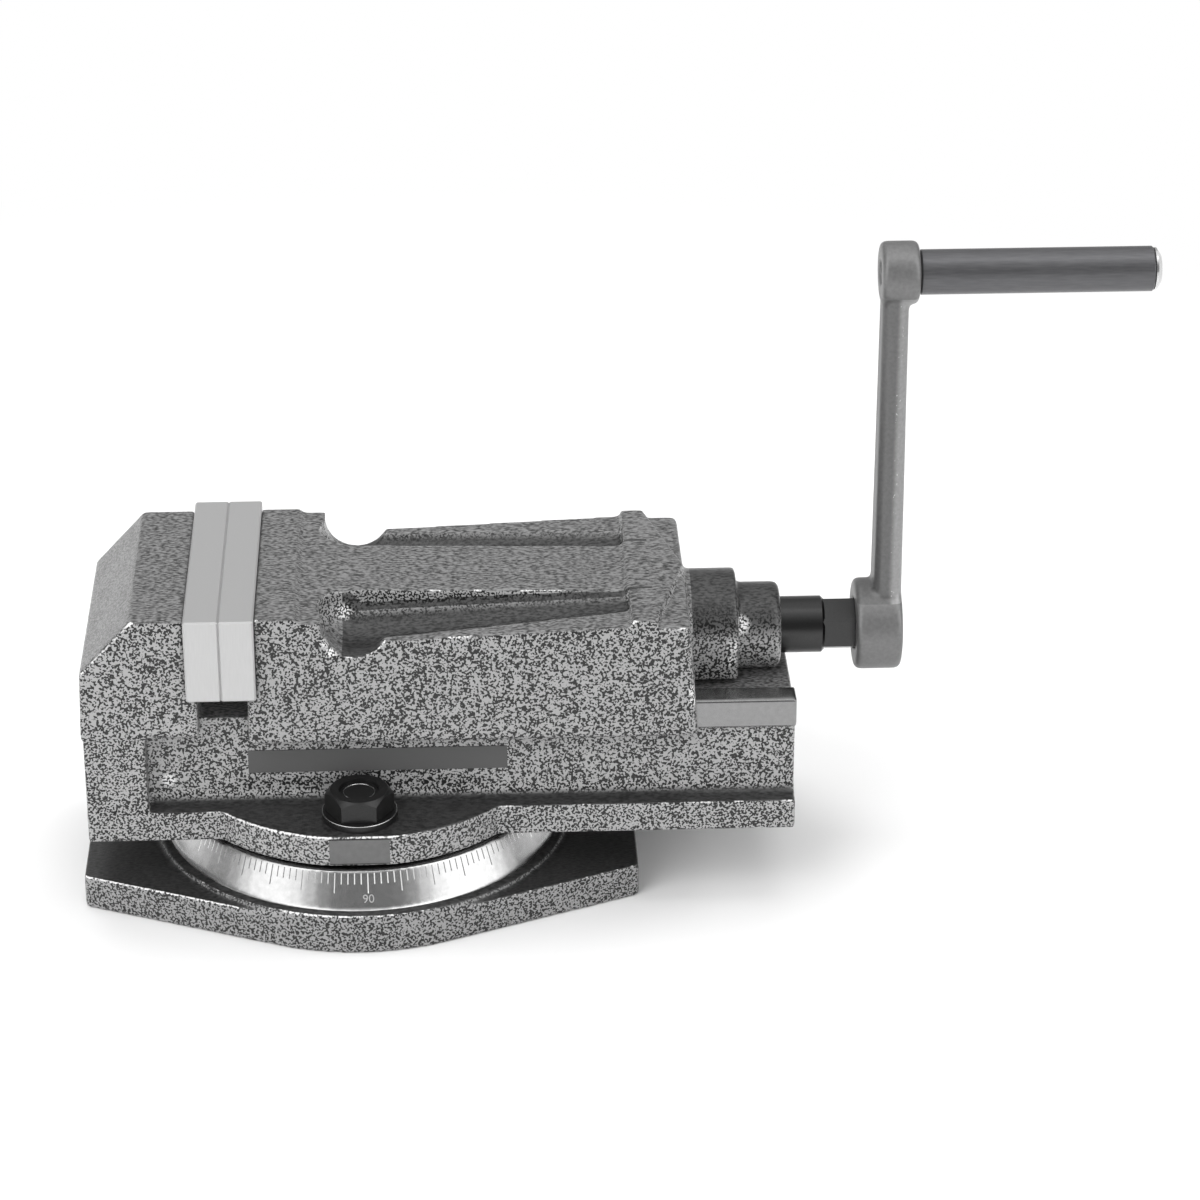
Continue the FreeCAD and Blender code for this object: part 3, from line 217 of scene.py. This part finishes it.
def casting_material(name, bare, shaded=None, pale="#9c9c9c", glint_spots=()):
    """Hammered paint; bare(tree, x, y, z) gives where the iron is machined and how bright it is there,
    shaded(tree, x, y, z, up) how much light the paint keeps, as painted shade, and glint_spots where a
    highlight is painted."""
    material, tree = new_material(name)
    place = add(tree, "TexCoord").outputs["Object"]
    normal = add(tree, "TexCoord").outputs["Normal"]
    x, y, z = add(tree, "SeparateXYZ", {0: place}).outputs
    up = add(tree, "SeparateXYZ", {0: normal}).outputs["Z"]

    worms = add(tree, "TexNoise", {"Vector": place, "Scale": 1.0 / PAINT_GRAIN, "Detail": 0.6,
                                   "Distortion": 0.4})
    patches = add(tree, "TexNoise", {"Vector": place, "Scale": 0.06 / PAINT_GRAIN, "Detail": 2.0})
    shift = add(tree, "Math", {0: patches, 1: 0.12, 2: worms}, operation="MULTIPLY_ADD")
    speckle = add(tree, "MapRange", {"Value": shift, "From Min": 0.53, "From Max": 0.575})
    side = two_tone(tree, speckle, "#161616", pale)

    drawn = add(tree, "Mapping", {"Vector": place, "Scale": (0.45, 1.0, 1.0)})
    streaks = add(tree, "TexNoise", {"Vector": drawn, "Scale": 1.0 / STREAK_GRAIN, "Detail": 1.5})
    combed = add(tree, "MapRange", {"Value": streaks, "From Min": 0.36, "From Max": 0.62})
    height = add(tree, "MapRange", {"Value": z, "From Min": LEDGE_TOP - 2 * MM,
                                    "From Max": LEDGE_TOP + 2 * MM})
    # Painted shade: the tops are darker than the sides, and the tops of the low ledges darker still.
    shaded_high_top = two_tone(tree, combed, "#262626", "#7a7a7a")
    shaded_low_top = two_tone(tree, combed, "#1c1c1c", "#383838")
    top = add(tree, "Mix", {"Factor": height, 6: shaded_low_top, 7: shaded_high_top}, data_type="RGBA")
    upward = add(tree, "MapRange", {"Value": up, "From Min": 0.45, "From Max": 0.8})
    paint = add(tree, "Mix", {"Factor": upward, 6: side, 7: top}, data_type="RGBA")
    # Painted shade: where shaded keeps less light, the paint is mixed towards black.
    if shaded:
        kept = shaded(tree, x, y, z, up)
        paint = add(tree, "Mix", {"Factor": kept, 6: tone("#000000"), 7: paint}, data_type="RGBA")

    # Painted highlights: bright grey on edges facing the light and at the glint spots.
    painted_glint = painted_edge_glint(tree, normal, height, worms, patches)
    for centre, radius in glint_spots:
        glint_spot = painted_glint_spot(tree, place, speckle, centre, radius)
        painted_glint = add(tree, "Math", {0: painted_glint, 1: glint_spot}, operation="MAXIMUM")
    glinted_paint = add(tree, "Mix", {"Factor": painted_glint, 6: paint, 7: tone("#e0e0e0")}, data_type="RGBA")

    seat, iron = bare(tree, x, y, z)
    lay = add(tree, "TexNoise", {"Vector": place, "Scale": 1.0 / MILLING_GRAIN, "Detail": 3.0})
    milled = add(tree, "MapRange", {"Value": lay, "To Min": 0.85, "To Max": 1.15})
    metal = add(tree, "Math", {0: milled, 1: iron}, operation="MULTIPLY")
    colour = add(tree, "Mix", {"Factor": seat, 6: glinted_paint, 7: metal}, data_type="RGBA")
    gloss = add(tree, "MapRange", {"Value": seat, "To Min": 0.3, "To Max": 0.24})
    painted = add(tree, "Math", {0: 1.0, 1: seat}, operation="SUBTRACT")
    bumps = add(tree, "Math", {0: worms, 1: painted}, operation="MULTIPLY")
    relief = add(tree, "Bump", {"Height": bumps, "Strength": 0.4, "Distance": PAINT_RELIEF})
    shader = add(tree, "BsdfPrincipled", {"Base Color": colour, "Roughness": gloss, "Metallic": seat,
                                          "Normal": relief})
    add(tree, "OutputMaterial", {"Surface": shader})
    return material


def cast_copy(node, voxel=1.0 * MM, keep=0.3, rounds=3):
    """The node's mesh with its sharp edges run soft as on a casting or a forging, standing for the node."""
    piece = bpy.data.objects.new(node + "_cast", bpy.data.objects[node].data.copy())
    scene.collection.objects.link(piece)
    piece.data.materials.clear()
    remesh = piece.modifiers.new("remesh", "REMESH")
    remesh.mode = "VOXEL"
    remesh.voxel_size = voxel
    smooth = piece.modifiers.new("smooth", "CORRECTIVE_SMOOTH")
    smooth.use_only_smooth = True
    smooth.iterations = rounds
    thin = piece.modifiers.new("thin", "DECIMATE")
    thin.ratio = keep
    graph = bpy.context.evaluated_depsgraph_get()
    mesh = bpy.data.meshes.new_from_object(piece.evaluated_get(graph))
    piece.modifiers.clear()
    piece.data = mesh
    mesh.shade_smooth()
    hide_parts(node)
    return piece


# Swivel base: painted iron with two slotted ears. Everything above the disc, the coned band and the top
# ring, is turned bright.
BAND_FOOT = 18.5 * MM
BAND_TOP = 35.0 * MM
BAND_FOOT_RADIUS = 91.0 * MM
BAND_TOP_RADIUS = 84.0 * MM
RING_TONE = 0.53


def bare_on_base(tree, x, y, z):
    """All that stands above the disc."""
    return within(tree, z, BAND_FOOT + 0.4 * MM, 1.0), RING_TONE


swivel_base = cast_copy("swivel_base")
swivel_base.data.materials.append(casting_material("hammered_paint_base", bare_on_base, pale="#929292"))
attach(swivel_base, "base")

# Scale on the band: a line scribed every two degrees, a longer one every ten, and plain filled numbers.
# Each line is a ridge of two narrow facets, which catch the soft boxes where the band is dim and turn dark
# in its highlights. The scale stands a little off the body's index.
DIVISION, LONG_DIVISION = 2, 10
LINE_START, LINE_LENGTH, LONG_LINE_LENGTH = 0.9 * MM, 5.9 * MM, 10.0 * MM
LINE_WIDTH = 0.5 * MM
LINE_RIDGE, LINE_SINK, LINE_ROOT = 0.14 * MM, 0.02 * MM, 0.3 * MM
NUMBERS = {0: "0", 90: "90", 180: "0", 270: "90"}
NUMBER_HEIGHT, NUMBER_DEPTH, NUMBER_DROP = 5.4 * MM, 0.08 * MM, 12.6 * MM
SCALE_TURN = math.radians(2.2)
SLOPE = math.atan2(BAND_FOOT_RADIUS - BAND_TOP_RADIUS, BAND_TOP - BAND_FOOT)

# Scribed steel: freshly cut and a little torn, so the lines glint unevenly.
scribing, tree = new_material("scribed_steel")
burr = add(tree, "TexNoise", {"Scale": 1.0 / (0.7 * MM)})
shade = add(tree, "MapRange", {"Value": burr, "To Min": 0.4, "To Max": 0.7})
shader = add(tree, "BsdfPrincipled", {"Base Color": shade, "Roughness": 0.25, "Metallic": 1.0})
add(tree, "OutputMaterial", {"Surface": shader})

# Filling wax: pale and dull, with grime in it, so the numbers read as soft light strokes.
filling, tree = new_material("pale_filled_engraving")
grime = add(tree, "TexNoise", {"Scale": 1.0 / (1.1 * MM)})
shade = add(tree, "MapRange", {"Value": grime, "To Min": 0.26, "To Max": 0.4})
shader = add(tree, "BsdfPrincipled", {"Base Color": shade, "Roughness": 0.6})
add(tree, "OutputMaterial", {"Surface": shader})


def on_band(angle, down, out):
    """A point of the band, by its angle, its distance down the slope and its distance out of the face."""
    radius = BAND_TOP_RADIUS + down * math.sin(SLOPE) + out * math.cos(SLOPE)
    height = BAND_TOP - down * math.cos(SLOPE) + out * math.sin(SLOPE)
    return Vector((radius * math.cos(angle), radius * math.sin(angle), height))


marks = bmesh.new()
for degrees in range(0, 360, DIVISION):
    end = LONG_LINE_LENGTH if degrees % LONG_DIVISION == 0 else LINE_LENGTH
    angle = math.radians(degrees) + SCALE_TURN
    half = LINE_WIDTH / 2 / BAND_TOP_RADIUS
    section = ((-half, -LINE_SINK), (0.0, LINE_RIDGE), (half, -LINE_SINK), (0.0, -LINE_ROOT))
    rows = [[marks.verts.new(on_band(angle + aside, down, out)) for down in (LINE_START, end)]
            for aside, out in section]
    for row, following in zip(rows, rows[1:] + rows[:1]):
        marks.faces.new((row[0], row[1], following[1], following[0]))
    marks.faces.new([row[0] for row in rows])
    marks.faces.new([row[1] for row in rows[::-1]])
bmesh.ops.recalc_face_normals(marks, faces=marks.faces)
scale_lines = bpy.data.objects.new("scale_lines", bpy.data.meshes.new("scale_lines"))
marks.to_mesh(scale_lines.data)
marks.free()
scale_lines.data.materials.append(scribing)
scene.collection.objects.link(scale_lines)
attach(scale_lines, "base")

for degrees, word in NUMBERS.items():
    angle = math.radians(degrees) + SCALE_TURN
    letters = bpy.data.curves.new(f"scale_number_{degrees}", "FONT")
    letters.body = word
    letters.size = NUMBER_HEIGHT
    letters.extrude = NUMBER_DEPTH
    letters.align_x = "CENTER"
    letters.align_y = "CENTER"
    flat_number = bpy.data.objects.new("flat_number", letters)
    scene.collection.objects.link(flat_number)
    graph = bpy.context.evaluated_depsgraph_get()
    mesh = bpy.data.meshes.new_from_object(flat_number.evaluated_get(graph))
    bpy.data.objects.remove(flat_number)
    across = Vector((-math.sin(angle), math.cos(angle), 0.0))
    up = (on_band(angle, 0.0, 0.0) - on_band(angle, 1.0, 0.0)).normalized()
    turn = Matrix((across, up, across.cross(up))).transposed().to_4x4()
    mesh.transform(Matrix.Translation(on_band(angle, NUMBER_DROP, 0.0)) @ turn)
    number = bpy.data.objects.new(f"scale_number_{degrees}", mesh)
    number.data.materials.append(filling)
    scene.collection.objects.link(number)
    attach(number, "base")

# Vise body: painted iron. The two rails, the foot that turns on the ring and the flat that carries the
# index are machined, their iron toned darker towards the bottom as painted shade; a painted highlight
# sits in the left corner of its recess.
RAIL_FOOT, RAIL_TOP = 86.0 * MM, 101.0 * MM
RAIL_INSIDE, RAIL_OUTSIDE = 36.6 * MM, 52.0 * MM
RAIL_LEFT = -48.5 * MM
FOOT_TOP = 37.4 * MM
INDEX_FACE = -83.6 * MM
INDEX_HALF = 13.5 * MM
# Painted highlight in the left corner of the recess, by centre and radius in mm.
BODY_GLINT_SPOTS = [((-85.8, -48.0, 63.6), 3.0)]


def bare_on_body(tree, x, y, z):
    """The rails, the index flat and the foot of the body; the iron is toned darker towards the bottom as
    painted shade, so the rails are the brightest.
    """
    side = add(tree, "Math", {0: y}, operation="ABSOLUTE")
    seat = within(tree, side, RAIL_INSIDE, RAIL_OUTSIDE)
    for limits in (within(tree, z, RAIL_FOOT, RAIL_TOP), within(tree, x, RAIL_LEFT, 1.0)):
        seat = add(tree, "Math", {0: seat, 1: limits}, operation="MULTIPLY")
    index = add(tree, "Math", {0: within(tree, y, -1.0, INDEX_FACE),
                               1: within(tree, x, -INDEX_HALF, INDEX_HALF)}, operation="MULTIPLY")
    for other in (index, within(tree, z, -1.0, FOOT_TOP)):
        seat = add(tree, "Math", {0: seat, 1: other}, operation="MAXIMUM")
    # Painted shade: the bare iron is darker towards the bottom.
    iron = add(tree, "MapRange", {"Value": z, "From Min": LEDGE_TOP, "From Max": RAIL_FOOT,
                                  "To Min": 0.16, "To Max": 0.28})
    return seat, iron


vise_body = cast_copy("vise_body")
vise_body.data.materials.append(casting_material("hammered_paint_body", bare_on_body, pale="#a0a0a0",
                                                 glint_spots=BODY_GLINT_SPOTS))
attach(vise_body, "vise")

# Movable jaw: painted iron all over its outside; only its ways underneath are machined. Painted shade
# darkens the two troughs beside the spine and the top of the screw's housing, and painted highlights sit
# at the ball of the front trough, at the notch and on the housing's step.
RIM_HEIGHT, RIM_RISE = 136.4 * MM, 0.041
SPINE_HALF, RIM_OUTSIDE = 23.4 * MM, 57.0 * MM
SPINE_WALL, WALL_LIFT = 25.4 * MM, 10.0 * MM
TROUGH_START, TROUGH_END = -6.0 * MM, 133.0 * MM
TROUGH_SHADE_DEPTH = 2.5 * MM
HOUSING_START = 151.5 * MM
WAYS_FOOT, WAYS_TOP = 60.0 * MM, 86.2 * MM
WAYS_TONE = 0.2
LIGHT_KEPT = 0.23
# Painted highlights at the ball, the notch, the housing's step and the right corner, by centre and radius in
# mm.
JAW_GLINT_SPOTS = [((-5.4, -26.1, 135.9), 3.4), ((-13.2, -56.0, 136.5), 2.6), ((-10.6, -57.0, 131.5), 2.4),
             ((173.5, -17.8, 121.1), 4.2), ((170.0, -23.5, 114.0), 3.6), ((168.6, -25.6, 107.0), 2.6),
             ((150.3, -56.8, 108.5), 2.6), ((150.3, -56.8, 103.0), 2.2)]


def bare_on_jaw(tree, x, y, z):
    """The ways under the jaw."""
    return within(tree, z, WAYS_FOOT, WAYS_TOP), WAYS_TONE


def painted_shade_on_jaw(tree, x, y, z, up):
    """Light the paint keeps, as painted shade: full in the open, and less below the rim of a trough and on
    top of the screw's housing.
    """
    side = add(tree, "Math", {0: y}, operation="ABSOLUTE")
    rim = add(tree, "Math", {0: x, 1: RIM_RISE, 2: RIM_HEIGHT - 0.6 * MM}, operation="MULTIPLY_ADD")
    wall = add(tree, "Math", {0: within(tree, side, SPINE_HALF, SPINE_WALL), 1: WALL_LIFT, 2: rim},
               operation="MULTIPLY_ADD")
    depth = add(tree, "Math", {0: wall, 1: z}, operation="SUBTRACT")
    sunk = add(tree, "MapRange", {"Value": depth, "From Min": 0.0, "From Max": TROUGH_SHADE_DEPTH})
    trough = within(tree, x, TROUGH_START, TROUGH_END)
    for share in (within(tree, side, SPINE_HALF, RIM_OUTSIDE), sunk):
        trough = add(tree, "Math", {0: trough, 1: share}, operation="MULTIPLY")
    flank = add(tree, "MapRange", {"Value": up, "From Min": 0.0, "From Max": 0.45})
    housing = add(tree, "Math", {0: within(tree, x, HOUSING_START, 1.0), 1: flank}, operation="MULTIPLY")
    dark = add(tree, "Math", {0: trough, 1: housing}, operation="MAXIMUM")
    return add(tree, "MapRange", {"Value": dark, "To Min": 1.0, "To Max": LIGHT_KEPT})


movable_jaw = cast_copy("movable_jaw", rounds=5)
movable_jaw.data.materials.append(casting_material("hammered_paint_jaw", bare_on_jaw, painted_shade_on_jaw,
                                                   glint_spots=JAW_GLINT_SPOTS))
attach(movable_jaw, "jaw")

# Blank plate: a plain sheet of 116.6 by 11.4 mm, 0.4 mm thick, glued to the front of the body under the jaw.
# It is grey lacquer, which shows no grain and hardly any gloss.
PLATE_LEFT, PLATE_RIGHT = -49.8 * MM, 66.8 * MM
PLATE_FOOT, PLATE_TOP = 66.6 * MM, 78.0 * MM
PLATE_THICKNESS = 0.4 * MM
WEB_FACE = -48.0 * MM
lacquer, tree = new_material("grey_lacquered_sheet")
dust = add(tree, "TexNoise", {"Scale": 1.0 / (3.3 * MM)})
shade = add(tree, "MapRange", {"Value": dust, "To Min": 0.078, "To Max": 0.088})
shader = add(tree, "BsdfPrincipled", {"Base Color": shade, "Roughness": 0.7})
add(tree, "OutputMaterial", {"Surface": shader})
bpy.ops.mesh.primitive_cube_add(size=1.0)
blank = bpy.context.object
blank.name = "blank_plate"
sides = (PLATE_RIGHT - PLATE_LEFT, PLATE_THICKNESS, PLATE_TOP - PLATE_FOOT, 1.0)
blank.data.transform(Matrix.Diagonal(sides))
middle = ((PLATE_LEFT + PLATE_RIGHT) / 2, WEB_FACE - PLATE_THICKNESS / 2, (PLATE_FOOT + PLATE_TOP) / 2)
blank.data.transform(Matrix.Translation(middle))
soften = blank.modifiers.new("soften", "BEVEL")
soften.width = 0.15 * MM
soften.segments = 2
blank.data.materials.append(lacquer)
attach(blank, "vise")


# Steel parts: jaw plates, screw, nuts, washers, bolts and handle keep their CAD meshes. Each is bar or plate
# stock, and the finishes differ in tone, in the size of the grain and in the direction of its lay.
def steel(name, dark, light, rough, grain, lay=(1.0, 1.0, 1.0), metallic=1.0, relief=0.15):
    """Steel with a fine grain of the given size, drawn out along its lay."""
    material, tree = new_material(name)
    place = add(tree, "TexCoord").outputs["Object"]
    drawn = add(tree, "Mapping", {"Vector": place, "Scale": lay})
    grains = add(tree, "TexNoise", {"Vector": drawn, "Scale": 1.0 / grain, "Detail": 4.0})
    gloss = add(tree, "MapRange", {"Value": grains, "To Min": rough - 0.06, "To Max": rough + 0.06})
    bump = add(tree, "Bump", {"Height": grains, "Strength": relief, "Distance": 0.1 * MM})
    tint = two_tone(tree, grains, dark, light)
    shader = add(tree, "BsdfPrincipled", {"Base Color": tint, "Roughness": gloss, "Metallic": metallic,
                                          "Normal": bump})
    add(tree, "OutputMaterial", {"Surface": shader})
    return material


# Ground: pale, with fine upright marks. Turned: rings across the axis, with a soft dark shine. Black oxide:
# a dull film with little metal showing. Bronze: a warm even tone, inside the vise. Forged: a satin skin with
# faint scale. Blued: lines along the bar. The grains are several times coarser than real, so that they show.
FINISHES = {
    "ground_steel": steel("ground_tool_steel", "#bababa", "#c6c6c6", 0.4, 0.6 * MM, (1.0, 1.0, 0.08),
                          metallic=0.75, relief=0.04),
    "machined_steel": steel("turned_steel", "#3a3a3a", "#4e4e4e", 0.3, 0.7 * MM, (4.0, 1.0, 1.0)),
    "black_oxide": steel("black_oxide_steel", "#242424", "#363636", 0.32, 0.9 * MM, metallic=0.6),
    "bronze": steel("turned_bronze", "#9a6b34", "#c08d50", 0.3, 0.8 * MM),
    "forged_steel": steel("forged_steel_satin", "#686868", "#848484", 0.42, 1.6 * MM,
                          metallic=0.6, relief=0.4),
    "handle_steel": steel("blued_handle_steel", "#525254", "#6e6e70", 0.36, 0.8 * MM, (0.1, 1.0, 1.0), 0.7),
}
slots = {row["node"]: row["material_slot"] for row in frame["record"]["subparts"]}
for node, slot in slots.items():
    if slot in FINISHES:
        for place in bpy.data.objects[node].material_slots:
            place.material = FINISHES[slot]

# Crank: a forged arm with a turned grip on a polished pin. Along the shank its outer side is painted
# lighter, as a painted highlight on that facet, the rest darker as painted shade, with painted glint flecks
# along the line between. The arm's edges run soft.
LIT_FACET_START, LIT_FACET_END = 241.0 * MM, 244.0 * MM
SHANK_FOOT, SHANK_HEAD = 128.0 * MM, 276.0 * MM
GLINT_FLECK_GRAIN = 1.3 * MM
tree = FINISHES["forged_steel"].node_tree
shader = tree.nodes["Principled BSDF"]
forged = shader.inputs["Base Color"].links[0].from_socket
place = add(tree, "TexCoord").outputs["Object"]
x, y, z = add(tree, "SeparateXYZ", {0: place}).outputs
# Painted highlight and shade: the shank lighter on its outer side and darker inside.
painted_facet_light = add(tree, "MapRange", {"Value": x, "From Min": LIT_FACET_START, "From Max": LIT_FACET_END,
                                 "To Min": 0.76, "To Max": 1.58}, interpolation_type="SMOOTHSTEP")
shank = within(tree, z, SHANK_FOOT, SHANK_HEAD)
gain = add(tree, "Mix", {"Factor": shank, 2: 0.98, 3: painted_facet_light})
toned = add(tree, "VectorMath", {0: forged, "Scale": gain}, operation="SCALE")
# Painted glints: bright flecks along the edge of the lit side.
glint_fleck_noise = add(tree, "TexNoise", {"Vector": place, "Scale": 1.0 / GLINT_FLECK_GRAIN, "Detail": 1.0})
glint_fleck = add(tree, "MapRange", {"Value": glint_fleck_noise, "From Min": 0.68, "From Max": 0.76})
for share in (within(tree, x, LIT_FACET_END - 2.0 * MM, LIT_FACET_END + 0.3 * MM), shank):
    glint_fleck = add(tree, "Math", {0: glint_fleck, 1: share}, operation="MULTIPLY")
glint_flecked = add(tree, "Mix", {"Factor": glint_fleck, 6: toned, 7: tone("#c0c0c0")}, data_type="RGBA")
tree.links.new(glint_flecked.outputs[2], shader.inputs["Base Color"])
crank_arm = cast_copy("crank_arm", voxel=0.8 * MM, keep=0.4, rounds=10)
crank_arm.data.materials.append(FINISHES["forged_steel"])
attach(crank_arm, "crank")
bright_pin = steel("polished_pin_steel", "#c8c8c8", "#e8e8e8", 0.25, 0.8 * MM)
for place in bpy.data.objects["handle_pin"].material_slots:
    place.material = bright_pin

# Clamp hardware: thin bright rims on the studs' ends and around the washers, where the black has rubbed off.
# Each is half sunk in its piece and rides with the body.
CLAMP_RADIUS = 63.8 * MM
RIM_WIRE = 0.22 * MM
STUD_RADIUS, STUD_INSET = 9.0 * MM, 2.0 * MM
WASHER_INSET = 0.3 * MM


def add_rim(name, cad_name, across, inset, radius=None):
    """A wire ring on top of a round piece, by its radius or by the piece's own reach, less an inset."""
    piece = bpy.data.objects[cad_name]
    corners = [piece.matrix_world @ Vector(corner) for corner in piece.bound_box]
    top = max(corner.z for corner in corners)
    reach = radius or max(corner.x for corner in corners)
    bpy.ops.mesh.primitive_torus_add(major_radius=reach - inset, minor_radius=RIM_WIRE, major_segments=96,
                                     minor_segments=10, location=(0.0, 0.0, 0.0))
    rim = bpy.context.object
    rim.name = name
    rim.data.transform(Matrix.Translation((0.0, across, top)))
    rim.data.materials.append(bright_pin)
    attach(rim, "vise")


for side, across in (("front", -CLAMP_RADIUS), ("back", CLAMP_RADIUS)):
    add_rim(f"stud_rim_{side}", f"t_bolt_{side}", across, STUD_INSET, STUD_RADIUS)
    add_rim(f"washer_rim_{side}", f"washer_{side}", across, WASHER_INSET)
